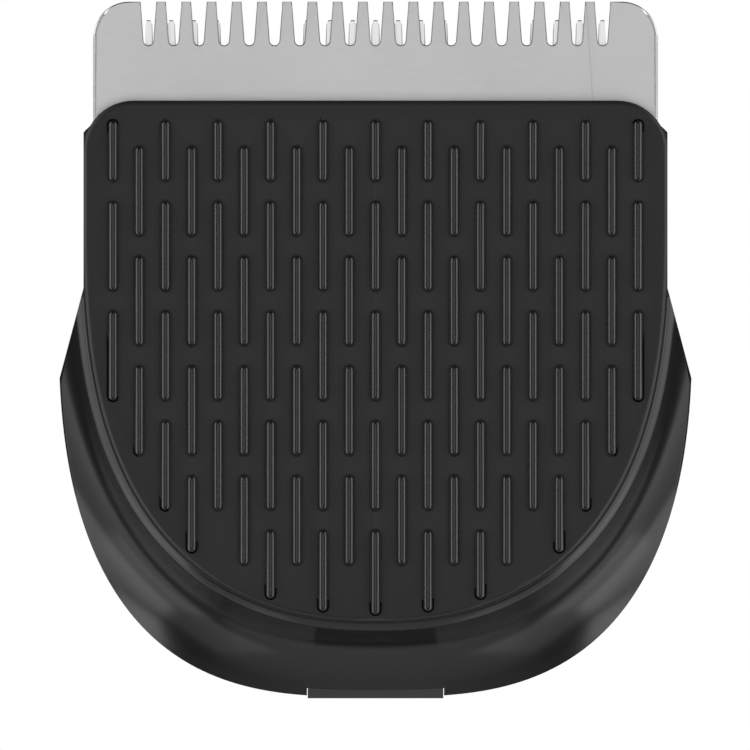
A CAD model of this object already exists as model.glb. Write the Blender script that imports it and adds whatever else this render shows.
import bmesh
import bpy
import math
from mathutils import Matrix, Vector


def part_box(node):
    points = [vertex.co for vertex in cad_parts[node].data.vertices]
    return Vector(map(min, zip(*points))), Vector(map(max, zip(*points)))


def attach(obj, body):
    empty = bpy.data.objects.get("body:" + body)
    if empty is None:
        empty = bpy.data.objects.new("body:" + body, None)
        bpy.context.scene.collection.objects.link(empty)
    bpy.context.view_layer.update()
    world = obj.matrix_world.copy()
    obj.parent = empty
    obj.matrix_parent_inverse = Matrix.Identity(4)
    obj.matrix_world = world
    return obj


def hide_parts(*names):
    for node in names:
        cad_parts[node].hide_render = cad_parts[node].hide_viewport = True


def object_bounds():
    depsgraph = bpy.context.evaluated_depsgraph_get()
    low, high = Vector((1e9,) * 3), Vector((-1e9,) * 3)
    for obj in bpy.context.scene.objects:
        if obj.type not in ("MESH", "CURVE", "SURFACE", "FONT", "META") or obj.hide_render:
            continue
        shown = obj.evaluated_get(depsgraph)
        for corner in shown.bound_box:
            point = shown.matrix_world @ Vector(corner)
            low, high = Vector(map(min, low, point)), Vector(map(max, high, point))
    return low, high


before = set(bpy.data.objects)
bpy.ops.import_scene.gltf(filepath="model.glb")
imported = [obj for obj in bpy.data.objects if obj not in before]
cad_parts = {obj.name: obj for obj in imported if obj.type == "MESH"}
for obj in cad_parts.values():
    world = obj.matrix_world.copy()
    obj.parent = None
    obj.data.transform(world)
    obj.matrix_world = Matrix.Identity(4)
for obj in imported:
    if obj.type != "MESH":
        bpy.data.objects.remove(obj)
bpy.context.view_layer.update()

# Lengths are in millimetres here and become metres where a mesh is made.
MM = 0.001


# ---------------------------------------------------------------- places taken from the CAD

def cad_mm(node):
    low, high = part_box(node)
    return [v / MM for v in low], [v / MM for v in high]


cover_low, cover_high = cad_mm("front_cover")
insert_low, insert_high = cad_mm("grip_insert")
housing_high = cad_mm("rear_housing")[1]
blade_low, blade_high = cad_mm("fixed_blade")
cutter_low, cutter_high = cad_mm("moving_blade")
lug_low, lug_high = cad_mm("hinge_lug")
seal_high = cad_mm("hair_seal")[1]

# ---------------------------------------------------------------- sizes shared with the CAD

COVER_CORNER = 3.55
COVER_CENTRE = 12.0
COVER_ACROSS = 2.31
COVER_DOWN = 2.72
COVER_DEPTH = 2.1
COVER_SKIN = 1.1
COVER_SKIRT = 1.3
COVER_FILLET = 0.35

SEAM_STAND_OUT = 0.7
LIP_DROP = 0.5
LIP_END = 6.0
LIP_WIDTH = 0.62
LIP_SLOPE = 0.75            # depth the lip's slanting face takes up
FACET_HIGH = 6.66
FACET_LEAN = 0.265
FLUSH_GAP = 0.0
RIM_HALF = 22.435
RIM_CENTRE = 4.0
RIM_BOTTOM = -22.3
RIM_ACROSS = 2.99
RIM_DOWN = 2.44
RIM_BAND = 1.5
RIM_ROUND = 0.4
EDGE_BEVEL = 0.12           # on the housing's cut edges
COVE_DRAFT = 0.14
COVE_POWER = 4.6
HOUSING_WALL = 1.5
FIT_GAP = 0.05
LUG_FOOT = 1.9
LUG_NOTCH = 3.5
SLOPE_LOW = 6.66
SLOPE_HIGH = 13.18
UPPER_BACK = 7.4
UPPER_DRAFT = 0.5
WINDOW_FLOOR = 13.6         # lower edge of the hair window
WINDOW_SPARE = 1.5          # window beyond the cutter, on each side

RIB_WIDTH = 0.64
RIB_GROOVE = 0.12
RIB_LENGTH = 6.37
RIB_PERIOD = 7.765
RIB_PITCH = 1.859
RIB_COLUMNS = 10
RIB_PHASE = 20.58
RIB_TOP_MARGIN = 1.4
RIB_END_MARGIN = 0.45
RIB_SHORTEST = 4.0

BLADE_CORNER = 2.55
TIP_BEVEL = 0.3             # height of the slant at the fixed blade's tips
TIP_BEVEL_DEPTH = 0.5
TOOTH_PITCH = 1.786
GAP_COUNT = 19
GAP_DEPTH = 3.09
GAP_MOUTH = 1.11
GAP_ROOT = 0.69
CUTTER_PITCH = 1.607
CUTTER_TEETH = 21
CUTTER_ROOT = 0.80
CUTTER_TIP = 0.54
CUTTER_TOOTH = 4.2
BLADE_HOLES = ((15.5, 1.2), (10.5, 0.75))   # distance from the middle and radius
BLADE_HOLE_Z = 10.2


# ---------------------------------------------------------------- mesh helpers

def new_object(name, bm, smooth_angle=30.0):
    """Mesh object from a bmesh in millimetres."""
    bmesh.ops.scale(bm, vec=(MM, MM, MM), verts=bm.verts)
    bmesh.ops.recalc_face_normals(bm, faces=bm.faces)
    mesh = bpy.data.meshes.new(name)
    bm.to_mesh(mesh)
    bm.free()
    obj = bpy.data.objects.new(name, mesh)
    bpy.context.collection.objects.link(obj)
    shade(obj, smooth_angle)
    return obj


def shade(obj, smooth_angle):
    """Smooth shading, with edges sharper than smooth_angle kept sharp."""
    mesh = obj.data
    for polygon in mesh.polygons:
        polygon.use_smooth = True
    mesh.set_sharp_from_angle(angle=math.radians(smooth_angle))


def apply_modifiers(obj):
    graph = bpy.context.evaluated_depsgraph_get()
    made = bpy.data.meshes.new_from_object(obj.evaluated_get(graph))
    old = obj.data
    obj.modifiers.clear()
    obj.data = made
    made.name = obj.name
    bpy.data.meshes.remove(old)


def boolean(obj, tool, operation):
    """Combines obj with tool, a scratch object, and removes the tool."""
    modifier = obj.modifiers.new("combine", "BOOLEAN")
    modifier.operation = operation
    modifier.object = tool
    modifier.solver = "EXACT"
    apply_modifiers(obj)
    bpy.data.objects.remove(tool)


def loft(rings):
    """Closed bmesh of quads between rings of equal length, each a list of (x, y, z)."""
    bm = bmesh.new()
    made = [[bm.verts.new(p) for p in ring] for ring in rings]
    count = len(rings[0])
    for low, high in zip(made, made[1:]):
        for i in range(count):
            j = (i + 1) % count
            bm.faces.new((low[i], low[j], high[j], high[i]))
    bm.faces.new(made[0])
    bm.faces.new(made[-1])
    return bm


def outline(half_width, top, corner, centre, bottom, across, down):
    """Closed loop of (x, z): flat top, round corners, straight sides, superelliptic lower half."""
    loop = []
    over = 16
    for i in range(over):
        loop.append((-(half_width - corner) + 2 * (half_width - corner) * i / over, top))
    turn = 12
    for i in range(turn):
        a = math.pi / 2 * (1 - i / turn)
        rise = top - corner + corner * math.sin(a)
        loop.append((half_width - corner + corner * math.cos(a), rise))
    side = 8
    for i in range(side):
        loop.append((half_width, top - corner + (centre - top + corner) * i / side))
    around = 128
    for i in range(around):
        a = math.pi * i / around
        c = math.cos(a)
        x = half_width * math.copysign(abs(c) ** (2 / across), c)
        loop.append((x, centre - (centre - bottom) * abs(math.sin(a)) ** (2 / down)))
    for i in range(side):
        loop.append((-half_width, centre + (top - corner - centre) * i / side))
    for i in range(turn):
        a = math.pi / 2 * (1 + (turn - i) / turn)
        rise = top - corner + corner * math.sin(a)
        loop.append((-half_width + corner + corner * math.cos(a), rise))
    return loop


def ring_at(y, loop):
    return [(x, y, z) for x, z in loop]


def inset_loop(loop, distance):
    """The loop drawn in along its own normals. distance is one value or one for each point."""
    count = len(loop)
    made = []
    for i in range(count):
        ax, az = loop[i - 1]
        bx, bz = loop[(i + 1) % count]
        dx, dz = bx - ax, bz - az
        size = math.hypot(dx, dz)
        d = distance[i] if isinstance(distance, list) else distance
        made.append((loop[i][0] + d * dz / size, loop[i][1] - d * dx / size))
    return made


def weighted(obj):
    """Normals led by the largest faces, so that flat faces shade flat."""
    modifier = obj.modifiers.new("weighted", "WEIGHTED_NORMAL")
    modifier.keep_sharp = True
    modifier.weight = 80
    apply_modifiers(obj)


def box_mesh(bm, low, high):
    """Adds a closed box to bm."""
    corners = [
        bm.verts.new((x, y, z))
        for x in (low[0], high[0])
        for y in (low[1], high[1])
        for z in (low[2], high[2])
    ]
    across = ((0, 1, 3, 2), (4, 6, 7, 5), (0, 4, 5, 1))
    along = ((2, 3, 7, 6), (0, 2, 6, 4), (1, 5, 7, 3))
    for face in across + along:
        bm.faces.new([corners[i] for i in face])


def prism_mesh(bm, loop, y0, y1):
    """Adds a closed prism along Y over a loop of (x, z)."""
    front = [bm.verts.new((x, y0, z)) for x, z in loop]
    back = [bm.verts.new((x, y1, z)) for x, z in loop]
    bm.faces.new(front)
    bm.faces.new(back[::-1])
    count = len(loop)
    for i in range(count):
        j = (i + 1) % count
        bm.faces.new((front[j], front[i], back[i], back[j]))


def capsule_loop(x, low, high, radius):
    """Closed loop of (x, z) round a slot whose end arcs are centred at low and high."""
    loop = []
    steps = 12
    for i in range(steps + 1):
        a = math.pi * (1 - i / steps)
        loop.append((x + radius * math.cos(a), high + radius * math.sin(a)))
    for i in range(steps + 1):
        a = -math.pi * i / steps
        loop.append((x + radius * math.cos(a), low + radius * math.sin(a)))
    return loop


def circle_loop(x, z, radius):
    steps = 32
    angles = [-2 * math.pi * i / steps for i in range(steps)]
    return [(x + radius * math.cos(a), z + radius * math.sin(a)) for a in angles]


# ---------------------------------------------------------------- materials

EVEN = (1.0, 1.0, 1.0)
NOISE_LOW = 0.3             # the span of a noise's values that is put to use
NOISE_HIGH = 0.7
GRAIN_DEPTH = 0.00001


def material(name, color, roughness, metallic=0.0, **sockets):
    """Principled material. Returns it with its nodes and its shader."""
    made = bpy.data.materials.new(name)
    made.use_nodes = True
    shader = made.node_tree.nodes["Principled BSDF"]
    shader.inputs["Base Color"].default_value = (*color, 1.0)
    shader.inputs["Roughness"].default_value = roughness
    shader.inputs["Metallic"].default_value = metallic
    for socket, value in sockets.items():
        shader.inputs[socket.replace("_", " ")].default_value = value
    return made, made.node_tree, shader


def coordinates(tree, scale):
    """Object coordinates stretched by scale, in metres, so grain keeps its real size."""
    place = tree.nodes.new("ShaderNodeTexCoord")
    mapping = tree.nodes.new("ShaderNodeMapping")
    mapping.inputs["Scale"].default_value = scale
    tree.links.new(place.outputs["Object"], mapping.inputs["Vector"])
    return mapping.outputs["Vector"]


def noise(tree, vector, scale, detail, rough=0.5):
    made = tree.nodes.new("ShaderNodeTexNoise")
    made.inputs["Scale"].default_value = scale
    made.inputs["Detail"].default_value = detail
    made.inputs["Roughness"].default_value = rough
    tree.links.new(vector, made.inputs["Vector"])
    return made.outputs["Fac"]


def ranged(tree, value, low, high, from_low=NOISE_LOW, from_high=NOISE_HIGH):
    made = tree.nodes.new("ShaderNodeMapRange")
    made.inputs["From Min"].default_value = from_low
    made.inputs["From Max"].default_value = from_high
    made.inputs["To Min"].default_value = low
    made.inputs["To Max"].default_value = high
    tree.links.new(value, made.inputs["Value"])
    return made.outputs["Result"]


def bump(tree, shader, height, strength):
    made = tree.nodes.new("ShaderNodeBump")
    made.inputs["Strength"].default_value = strength
    made.inputs["Distance"].default_value = GRAIN_DEPTH
    tree.links.new(height, made.inputs["Height"])
    tree.links.new(made.outputs["Normal"], shader.inputs["Normal"])


def ramped(tree, value, dark, light):
    """Colour that runs from dark to light with value."""
    ramp = tree.nodes.new("ShaderNodeValToRGB")
    ramp.color_ramp.elements[0].position = NOISE_LOW
    ramp.color_ramp.elements[0].color = (*dark, 1.0)
    ramp.color_ramp.elements[1].position = NOISE_HIGH
    ramp.color_ramp.elements[1].color = (*light, 1.0)
    tree.links.new(value, ramp.inputs["Fac"])
    return ramp.outputs["Color"]


def tinted(tree, shader, value, dark, light):
    tree.links.new(ramped(tree, value, dark, light), shader.inputs["Base Color"])


def uneven_gloss(tree, shader, value, roughness, spread):
    """Roughness that strays by spread, a share of it, to both sides."""
    made = ranged(tree, value, roughness * (1 - spread), roughness * (1 + spread))
    tree.links.new(made, shader.inputs["Roughness"])


def edge_wear(tree, color_output, shader, worn, amount):
    """Lightens convex edges a little, as handling does, by the surface's own curvature."""
    geometry = tree.nodes.new("ShaderNodeNewGeometry")
    share = ranged(tree, geometry.outputs["Pointiness"], 0.0, amount, 0.52, 0.62)
    mix = tree.nodes.new("ShaderNodeMix")
    mix.data_type = "RGBA"
    tree.links.new(share, mix.inputs["Factor"])
    tree.links.new(color_output, mix.inputs["A"])
    mix.inputs["B"].default_value = (*worn, 1.0)
    tree.links.new(mix.outputs["Result"], shader.inputs["Base Color"])


def grey(value):
    return (value, value, value)


def moulded_plastic(name, tone, roughness, grain, specular=0.5):
    """Moulded plastic with a fine spark-eroded grain, uneven gloss and slightly worn edges."""
    made, tree, shader = material(name, grey(tone), roughness)
    shader.inputs["Specular IOR Level"].default_value = specular
    fine = noise(tree, coordinates(tree, EVEN), 9000.0, 2.0)
    broad = noise(tree, coordinates(tree, EVEN), 120.0, 3.0)
    uneven_gloss(tree, shader, broad, roughness, 0.07)
    mottled = ramped(tree, broad, grey(tone * 0.96), grey(tone * 1.04))
    edge_wear(tree, mottled, shader, grey(tone * 1.8 + 0.004), 0.5)
    bump(tree, shader, fine, grain)
    return made


def rubber(name, tone, roughness):
    """Soft moulded rubber with a dusty bloom."""
    made, tree, shader = material(name, grey(tone), roughness)
    shader.inputs["Specular IOR Level"].default_value = 0.45
    fine = noise(tree, coordinates(tree, EVEN), 6000.0, 3.0)
    broad = noise(tree, coordinates(tree, EVEN), 200.0, 3.0)
    uneven_gloss(tree, shader, broad, roughness, 0.1)
    tinted(tree, shader, broad, grey(tone * 0.93), grey(tone * 1.07))
    bump(tree, shader, fine, 0.08)
    return made


def steel(name, tone, roughness, brush, strength=0.06):
    """Ground steel: fine lines along the axis with the smallest scale, and uneven gloss."""
    made, tree, shader = material(name, grey(tone), roughness, 1.0)
    lines = noise(tree, coordinates(tree, brush), 900.0, 4.0, 0.6)
    broad = noise(tree, coordinates(tree, EVEN), 90.0, 2.0)
    uneven_gloss(tree, shader, lines, roughness, 0.12)
    tinted(tree, shader, broad, grey(tone * 0.97), grey(tone * 1.03))
    bump(tree, shader, lines, strength)
    return made


def coloured(name, color, roughness, metallic=0.0):
    """Plain coloured stock with mottled tone and gloss."""
    made, tree, shader = material(name, color, roughness, metallic)
    broad = noise(tree, coordinates(tree, EVEN), 400.0, 4.0)
    uneven_gloss(tree, shader, broad, roughness, 0.15)
    tinted(tree, shader, broad, [c * 0.92 for c in color], [c * 1.06 for c in color])
    bump(tree, shader, noise(tree, coordinates(tree, EVEN), 5000.0, 2.0), 0.05)
    return made


cover_plastic = moulded_plastic("cover_plastic", 0.0165, 0.50, 0.05, 0.27)
housing_plastic = moulded_plastic("housing_plastic", 0.005, 0.19, 0.01, 0.36)
inner_plastic = moulded_plastic("inner_plastic", 0.02, 0.55, 0.10)
lug_plastic = moulded_plastic("lug_plastic", 0.014, 0.4, 0.06)
grip_rubber = rubber("grip_rubber", 0.012, 0.24)
seal_rubber = rubber("seal_rubber", 0.012, 0.6)
blade_steel = steel("blade_steel", 0.55, 0.36, (1.0, 1.0, 30.0))
cutter_steel = steel("cutter_steel", 0.74, 0.24, (30.0, 1.0, 1.0))
plain_steel = steel("plain_steel", 0.6, 0.3, (1.0, 20.0, 1.0))
screw_steel = steel("screw_steel", 0.52, 0.28, (8.0, 8.0, 8.0), 0.12)
spring_steel = steel("spring_steel", 0.6, 0.22, (1.0, 1.0, 1.0), 0.03)
liner_bronze = coloured("liner_bronze", (0.55, 0.36, 0.16), 0.38, 1.0)
carrier_plastic = coloured("carrier_plastic", (0.72, 0.71, 0.66), 0.42)


def finish_with(obj, made):
    obj.data.materials.clear()
    obj.data.materials.append(made)


# ---------------------------------------------------------------- front cover and ribs

cover_half = cover_high[0]
cover_top = cover_high[2]
cover_bottom = cover_low[2]
cover_face_y = cover_low[1]
seam_y = cover_face_y + COVER_DEPTH
lip_y = cover_face_y + LIP_DROP
insert_front_y = cover_face_y + COVER_SKIN


def cover_loop(grown=0.0):
    return outline(
        cover_half + grown,
        cover_top + grown,
        COVER_CORNER,
        COVER_CENTRE,
        cover_bottom - grown,
        COVER_ACROSS,
        COVER_DOWN,
    )


def cover_floor(x):
    share = min(abs(x) / cover_half, 1.0)
    drop = (1 - share ** COVER_ACROSS) ** (1 / COVER_DOWN)
    return COVER_CENTRE - (COVER_CENTRE - cover_bottom) * drop


def rib_spans():
    """(x, low z, high z) of every rib."""
    spans = []
    highest = cover_top - RIB_TOP_MARGIN
    for column in range(-RIB_COLUMNS, RIB_COLUMNS + 1):
        x = column * RIB_PITCH
        lowest = cover_floor(abs(x) + RIB_WIDTH / 2) + RIB_END_MARGIN
        top = RIB_PHASE - (RIB_PERIOD / 2 if column % 2 else 0.0)
        while top - RIB_SHORTEST > lowest:
            high = min(top, highest)
            low = max(top - RIB_LENGTH, lowest)
            if high - low >= RIB_SHORTEST:
                spans.append((x, low, high))
            top -= RIB_PERIOD
    return spans


def make_cover():
    loop = cover_loop()
    rings = []
    steps = 7
    for k in range(steps + 1):
        a = math.pi / 2 * k / steps
        inset = COVER_FILLET * (1 - math.sin(a))
        y = cover_face_y + COVER_FILLET * (1 - math.cos(a))
        rings.append(ring_at(y, inset_loop(loop, inset)))
    rings.append(ring_at(seam_y - 0.12, loop))
    rings.append(ring_at(seam_y, inset_loop(loop, 0.1)))
    rings.append(ring_at(seam_y, inset_loop(loop, COVER_SKIRT)))
    rings.append(ring_at(insert_front_y, inset_loop(loop, COVER_SKIRT)))
    cover = new_object("front_cover_skin", loft(rings))
    slots = bmesh.new()
    radius = RIB_WIDTH / 2 + RIB_GROOVE
    for x, low, high in rib_spans():
        loop = capsule_loop(x, low + RIB_WIDTH / 2, high - RIB_WIDTH / 2, radius)
        prism_mesh(slots, loop, cover_face_y - 1, insert_front_y + 0.01)
    boolean(cover, new_object("slots", slots), "DIFFERENCE")
    shade(cover, 40.0)
    weighted(cover)
    return cover


def make_ribs():
    plate = inset_loop(cover_loop(), COVER_SKIRT + FIT_GAP)
    bm = loft([ring_at(insert_front_y + 0.01, plate), ring_at(insert_high[1], plate)])
    crown = cover_face_y - insert_low[1]
    steps = 8
    for x, low, high in rib_spans():
        rings = [(insert_front_y + 0.2, 1.0), (cover_face_y + 0.02, 1.0)]
        for k in range(1, steps):
            a = math.pi / 2 * k / steps
            rings.append((cover_face_y - crown * math.sin(a), math.cos(a)))
        rings.append((cover_face_y - crown, 0.03))
        ends = (low + RIB_WIDTH / 2, high - RIB_WIDTH / 2)
        made = [ring_at(y, capsule_loop(x, *ends, RIB_WIDTH / 2 * share)) for y, share in rings]
        part = loft(made)
        scratch = bpy.data.meshes.new("rib")
        part.to_mesh(scratch)
        part.free()
        bm.from_mesh(scratch)
        bpy.data.meshes.remove(scratch)
    return new_object("grip_ribs", bm, 50.0)


cover = make_cover()
finish_with(cover, cover_plastic)
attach(cover, "head")
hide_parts("front_cover")

ribs = make_ribs()
finish_with(ribs, grip_rubber)
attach(ribs, "head")
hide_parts("grip_insert")


# ---------------------------------------------------------------- rear housing

housing_top = housing_high[2]


def between(seam_value, rim_value, flare):
    return seam_value + flare * (rim_value - seam_value)


def flare_at(y):
    share = (y - seam_y) / (-RIM_BAND - seam_y)
    share = min(max(share, 0.0), 1.0)
    return COVE_DRAFT * share + (1 - COVE_DRAFT) * share ** COVE_POWER


def housing_loop(flare, inset):
    return outline(
        between(cover_half + SEAM_STAND_OUT, RIM_HALF, flare) - inset,
        housing_top - inset,
        max(COVER_CORNER - inset, 0.5),
        between(COVER_CENTRE, RIM_CENTRE, flare),
        between(cover_bottom - SEAM_STAND_OUT, RIM_BOTTOM, flare) + inset,
        between(COVER_ACROSS, RIM_ACROSS, flare),
        between(COVER_DOWN, RIM_DOWN, flare),
    )


def housing_solid(name, inset, back, rounded):
    """The flared body. rounded gives the outer one its lip and its soft rim edge."""
    rings = []
    depth = -RIM_BAND - seam_y
    if rounded:
        steps = 8
        for k in range(steps):
            share = k / steps
            y = lip_y + LIP_SLOPE * share ** 1.3
            rings.append(ring_at(y, inset_loop(housing_loop(0.0, inset), LIP_WIDTH * (1 - share))))
        rings.append(ring_at(lip_y + LIP_SLOPE, housing_loop(0.0, inset)))
    steps = 40
    for k in range(steps + 1):
        y = seam_y + depth * k / steps
        rings.append(ring_at(y, housing_loop(flare_at(y), inset)))
    rim = housing_loop(1.0, inset)
    if rounded:
        rings.append(ring_at(-RIM_ROUND, rim))
        steps = 5
        for k in range(1, steps + 1):
            a = math.pi / 2 * k / steps
            y = -RIM_ROUND * (1 - math.sin(a))
            rings.append(ring_at(y, inset_loop(rim, RIM_ROUND * (1 - math.cos(a)))))
    else:
        rings.append(ring_at(back, rim))
    return new_object(name, loft(rings))


def wedge(name, wall):
    """What is trimmed off the housing's rear above the rim, for a wall thickness of wall."""
    slope = (SLOPE_HIGH - SLOPE_LOW) / UPPER_BACK
    drop = wall * math.sqrt(1 + slope * slope)
    upper_y = -UPPER_BACK - wall
    knee_z = SLOPE_LOW - drop + slope * -upper_y
    past = 3.0
    over = housing_top + 5
    upper_end_y = upper_y - UPPER_DRAFT * (over - knee_z) / (housing_top - knee_z)
    profile = [
        (past, SLOPE_LOW - drop - slope * past),
        (upper_y, knee_z),
        (upper_end_y, over),
        (past, over),
    ]
    bm = bmesh.new()
    sides = []
    for x in (-30.0, 30.0):
        sides.append([bm.verts.new((x, y, z)) for y, z in profile])
    left, right = sides
    bm.faces.new(left)
    bm.faces.new(right[::-1])
    for i in range(len(profile)):
        j = (i + 1) % len(profile)
        bm.faces.new((left[j], left[i], right[i], right[j]))
    return new_object(name, bm)


def flanks(name, inset):
    """What the housing's sides keep to: upright beside the cover, then the shoulder facets."""
    half_width = cover_half - FLUSH_GAP - inset
    slant = inset * (math.sqrt(1 + FACET_LEAN * FACET_LEAN) - 1)
    low_z = RIM_BOTTOM - 1
    reach = half_width - slant + FACET_LEAN * (FACET_HIGH - low_z)
    knee_z = FACET_HIGH - slant / FACET_LEAN
    bm = bmesh.new()
    loop = [(half_width, cover_top + 1), (half_width, knee_z), (reach, low_z)]
    loop += [(-x, z) for x, z in reversed(loop)]
    prism_mesh(bm, loop, cover_face_y - 1, -cover_face_y)
    return new_object(name, bm)


def make_housing():
    outer = housing_solid("rear_housing_shell", 0.0, 0.0, True)
    boolean(outer, flanks("flanks_outer", 0.0), "INTERSECT")
    boolean(outer, wedge("wedge_outer", 0.0), "DIFFERENCE")
    inner = housing_solid("cavity", HOUSING_WALL, 1.0, False)
    boolean(inner, flanks("flanks_inner", HOUSING_WALL), "INTERSECT")
    boolean(inner, wedge("wedge_inner", HOUSING_WALL), "DIFFERENCE")
    boolean(outer, inner, "DIFFERENCE")
    recess = bmesh.new()
    prism_mesh(recess, cover_loop(FIT_GAP), lip_y - 1, seam_y)
    boolean(outer, new_object("recess", recess), "DIFFERENCE")
    above = bmesh.new()
    box_mesh(above, (-2 * RIM_HALF, lip_y - 1, LIP_END), (2 * RIM_HALF, seam_y, cover_top + 1))
    boolean(outer, new_object("above", above), "DIFFERENCE")
    cuts = bmesh.new()
    box_mesh(
        cuts,
        (-2 * RIM_HALF, seam_y - 1, blade_low[2] - FIT_GAP),
        (2 * RIM_HALF, blade_high[1], cover_top + 1),
    )
    boolean(outer, new_object("seat", cuts), "DIFFERENCE")
    window = bmesh.new()
    reach = CUTTER_PITCH * CUTTER_TEETH / 2 + WINDOW_SPARE
    box_mesh(window, (-reach, seam_y - 1, WINDOW_FLOOR), (reach, seal_high[1], cover_top + 1))
    boolean(outer, new_object("window", window), "DIFFERENCE")
    notch = bmesh.new()
    box_mesh(
        notch,
        (lug_low[0] - FIT_GAP, -LUG_FOOT, RIM_BOTTOM - 1),
        (lug_high[0] + FIT_GAP, 1.0, RIM_BOTTOM + LUG_NOTCH),
    )
    boolean(outer, new_object("notch", notch), "DIFFERENCE")
    shade(outer, 35.0)
    bevel = outer.modifiers.new("bevel", "BEVEL")
    bevel.width = EDGE_BEVEL * MM
    bevel.segments = 2
    bevel.limit_method = "ANGLE"
    bevel.angle_limit = math.radians(35)
    apply_modifiers(outer)
    weighted(outer)
    return outer


housing = make_housing()
finish_with(housing, housing_plastic)
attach(housing, "head")
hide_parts("rear_housing")


# ---------------------------------------------------------------- blades

def blade_loop():
    """Front outline of the fixed blade, clockwise from its lower left corner."""
    half = blade_high[0]
    tip = blade_high[2]
    base = blade_low[2]
    loop = [(-half, base)]
    turn = 14
    for i in range(turn + 1):
        a = math.pi - math.pi / 2 * i / turn
        z = tip - BLADE_CORNER * (1 - math.sin(a))
        loop.append((-half + BLADE_CORNER * (1 + math.cos(a)), z))
    root = GAP_ROOT / 2
    root_z = tip - GAP_DEPTH + root
    for i in range(GAP_COUNT):
        x = (i - (GAP_COUNT - 1) / 2) * TOOTH_PITCH
        loop.append((x - GAP_MOUTH / 2, tip))
        steps = 10
        for k in range(steps + 1):
            a = math.pi + math.pi * k / steps
            loop.append((x + root * math.cos(a), root_z + root * math.sin(a)))
        loop.append((x + GAP_MOUTH / 2, tip))
    for i in range(turn + 1):
        a = math.pi / 2 - math.pi / 2 * i / turn
        z = tip - BLADE_CORNER * (1 - math.sin(a))
        loop.append((half - BLADE_CORNER * (1 - math.cos(a)), z))
    loop.append((half, base))
    return loop


def cutter_loop():
    """Front outline of the moving blade, clockwise from its lower left corner."""
    half = cutter_high[0]
    tip = cutter_high[2]
    root_z = tip - CUTTER_TOOTH
    loop = [(-half, cutter_low[2])]
    r = CUTTER_TIP / 2
    for i in range(CUTTER_TEETH):
        x = (i - (CUTTER_TEETH - 1) / 2) * CUTTER_PITCH
        loop.append((x - CUTTER_ROOT / 2, root_z))
        steps = 10
        for k in range(steps + 1):
            a = math.pi - math.pi * k / steps
            loop.append((x + r * math.cos(a), tip - r + r * math.sin(a)))
        loop.append((x + CUTTER_ROOT / 2, root_z))
    loop.append((half, cutter_low[2]))
    return loop


def blade_solid(loop, front_y, back_y, bevels):
    """Plate with its front edge drawn in by bevels, a list of (inset for each point, depth)."""
    rings = [ring_at(front_y + depth, inset_loop(loop, insets)) for insets, depth in bevels]
    rings.append(ring_at(back_y - 0.06, loop))
    rings.append(ring_at(back_y, inset_loop(loop, 0.05)))
    return loft(rings)


def make_fixed_blade():
    loop = blade_loop()
    half = blade_high[0]
    side_share = [min(max((abs(x) - (half - 1.2)) / 1.0, 0.0), 1.0) for x, z in loop]
    front = [0.07 + share * 0.27 for share in side_share]
    middle = [0.02 + share * 0.10 for share in side_share]
    nothing = [0.0 for share in side_share]
    bevels = [(front, 0.0), (middle, 0.07), (nothing, 0.22)]
    bm = blade_solid(loop, blade_low[1], blade_high[1], bevels)
    tip = blade_high[2]
    level = tip - TIP_BEVEL
    middle_y = (blade_low[1] + blade_high[1]) / 2
    whole = bm.verts[:] + bm.edges[:] + bm.faces[:]
    bmesh.ops.bisect_plane(bm, geom=whole, plane_co=(0, 0, level), plane_no=(0, 0, 1))
    for v in bm.verts:
        if v.co.z > level + 1e-4 and v.co.y < middle_y:
            v.co.y += (v.co.z - level) / (tip - level) * TIP_BEVEL_DEPTH
    blade = new_object("fixed_blade_plate", bm, 25.0)
    holes = bmesh.new()
    for side in (-1, 1):
        for x, radius in BLADE_HOLES:
            loop = circle_loop(side * x, BLADE_HOLE_Z, radius)
            prism_mesh(holes, loop, blade_low[1] - 1, blade_high[1] + 1)
    boolean(blade, new_object("holes", holes), "DIFFERENCE")
    shade(blade, 25.0)
    weighted(blade)
    return blade


def make_moving_blade():
    loop = cutter_loop()
    front = [0.06 for p in loop]
    nothing = [0.0 for p in loop]
    bm = blade_solid(loop, cutter_low[1], cutter_high[1], [(front, 0.0), (nothing, 0.07)])
    return new_object("moving_blade_plate", bm, 25.0)


fixed = make_fixed_blade()
finish_with(fixed, blade_steel)
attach(fixed, "head")
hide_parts("fixed_blade")

moving = make_moving_blade()
finish_with(moving, cutter_steel)
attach(moving, "cutter")
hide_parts("moving_blade")


# ---------------------------------------------------------------- CAD pieces that keep their shape

KEPT = {
    "chassis": inner_plastic,
    "spring_bridge": inner_plastic,
    "hinge_lug": lug_plastic,
    "hair_seal": seal_rubber,
    "neck_gasket": seal_rubber,
    "cutter_carrier": carrier_plastic,
    "slot_liner": liner_bronze,
    "carrier_rivets": plain_steel,
    "wear_plates": plain_steel,
    "guide_rail": plain_steel,
    "locating_pins": plain_steel,
    "pressure_spring": spring_steel,
    "retaining_clip": spring_steel,
    "blade_screws": screw_steel,
    "bridge_screws": screw_steel,
    "chassis_screws": screw_steel,
    "lug_screws": screw_steel,
}
for node, made in KEPT.items():
    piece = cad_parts[node]
    for slot in piece.material_slots:
        slot.material = made


# ---------------------------------------------------------------- stage, light and camera

low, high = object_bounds()
centre = (low + high) / 2


def light(name, location, size, power):
    """Softbox of size (across, along) metres that faces the object."""
    data = bpy.data.lights.new(name, "AREA")
    data.shape = "RECTANGLE"
    data.size, data.size_y = size
    data.energy = power
    obj = bpy.data.objects.new(name, data)
    obj.location = location
    way = centre - Vector(location)
    obj.rotation_euler = way.to_track_quat("-Z", "Y").to_euler()
    obj.visible_camera = False
    bpy.context.collection.objects.link(obj)


ROOM_STRENGTH = 0.015


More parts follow.
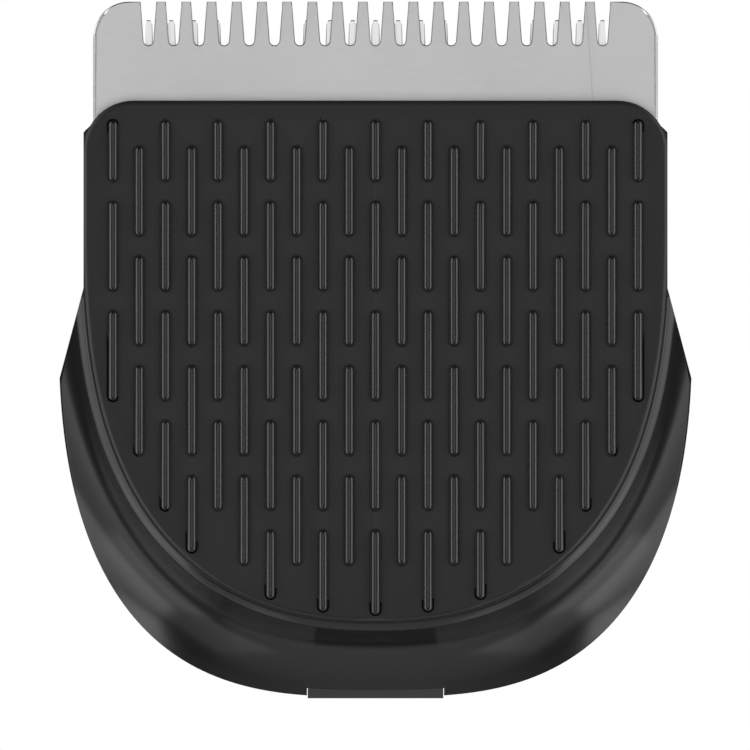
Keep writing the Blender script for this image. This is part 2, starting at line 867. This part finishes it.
def make_world():
    """White to the camera, and a dim grey room for everything else."""
    world = bpy.data.worlds.new("studio")
    bpy.context.scene.world = world
    world.use_nodes = True
    tree = world.node_tree
    tree.nodes.clear()
    out = tree.nodes.new("ShaderNodeOutputWorld")
    seen = tree.nodes.new("ShaderNodeBackground")
    seen.inputs["Color"].default_value = (1, 1, 1, 1)
    seen.inputs["Strength"].default_value = 1.0
    room = tree.nodes.new("ShaderNodeBackground")
    room.inputs["Color"].default_value = (1, 1, 1, 1)
    room.inputs["Strength"].default_value = ROOM_STRENGTH
    path = tree.nodes.new("ShaderNodeLightPath")
    mix = tree.nodes.new("ShaderNodeMixShader")
    tree.links.new(path.outputs["Is Camera Ray"], mix.inputs["Fac"])
    tree.links.new(room.outputs["Background"], mix.inputs[1])
    tree.links.new(seen.outputs["Background"], mix.inputs[2])
    tree.links.new(mix.outputs["Shader"], out.inputs["Surface"])


make_world()
bpy.context.scene.view_settings.view_transform = "Standard"

light("front_softbox", (0.0, -0.55, 0.0), (0.45, 0.45), 0.7)
light("left_softbox", (-0.345, 0.052, 0.0), (0.149, 0.8), 0.62)
light("right_softbox", (0.345, 0.052, 0.0), (0.149, 0.8), 0.66)
light("left_back_softbox", (-0.276, 0.206, 0.0), (0.17, 0.8), 0.19)
light("right_back_softbox", (0.276, 0.206, 0.0), (0.17, 0.8), 0.21)
light("left_front_strip", (-0.322, -0.146, 0.0), (0.214, 0.8), 1.7)
light("right_front_strip", (0.322, -0.146, 0.0), (0.214, 0.8), 1.7)
light("low_fill", (0.0, 0.139, -0.428), (0.36, 0.46), 0.08)
light("low_left", (-0.33, 0.139, -0.40), (0.28, 0.46), 0.19)
light("low_right", (0.33, 0.139, -0.40), (0.28, 0.46), 0.25)

VIEW_HEIGHT = 0.0531        # what the picture's height takes in
VIEW_CENTRE_X = -0.000035
VIEW_CENTRE_Z = 0.0005
CAMERA_DISTANCE = 0.4
camera_data = bpy.data.cameras.new("camera")
camera_data.type = "ORTHO"  # the photograph shows no perspective
camera_data.ortho_scale = VIEW_HEIGHT
camera = bpy.data.objects.new("camera", camera_data)
camera.location = (VIEW_CENTRE_X, -CAMERA_DISTANCE, VIEW_CENTRE_Z)
camera.rotation_euler = (math.pi / 2, 0.0, 0.0)
camera_data.clip_start = 0.01
camera_data.clip_end = 5.0
bpy.context.collection.objects.link(camera)
bpy.context.scene.camera = camera


def make_floor():
    """Pale floor well below the object, out of the picture's frame."""
    bm = bmesh.new()
    level = -600.0
    reach = 900.0
    corners = ((-reach, -reach), (reach, -reach), (reach, reach), (-reach, reach))
    bm.faces.new([bm.verts.new((x, y, level)) for x, y in corners])
    floor = new_object("floor", bm)
    made, tree, shader = material("floor_paint", grey(0.8), 0.8)
    broad = noise(tree, coordinates(tree, EVEN), 30.0, 3.0)
    tinted(tree, shader, broad, grey(0.79), grey(0.82))
    floor.data.materials.append(made)


make_floor()
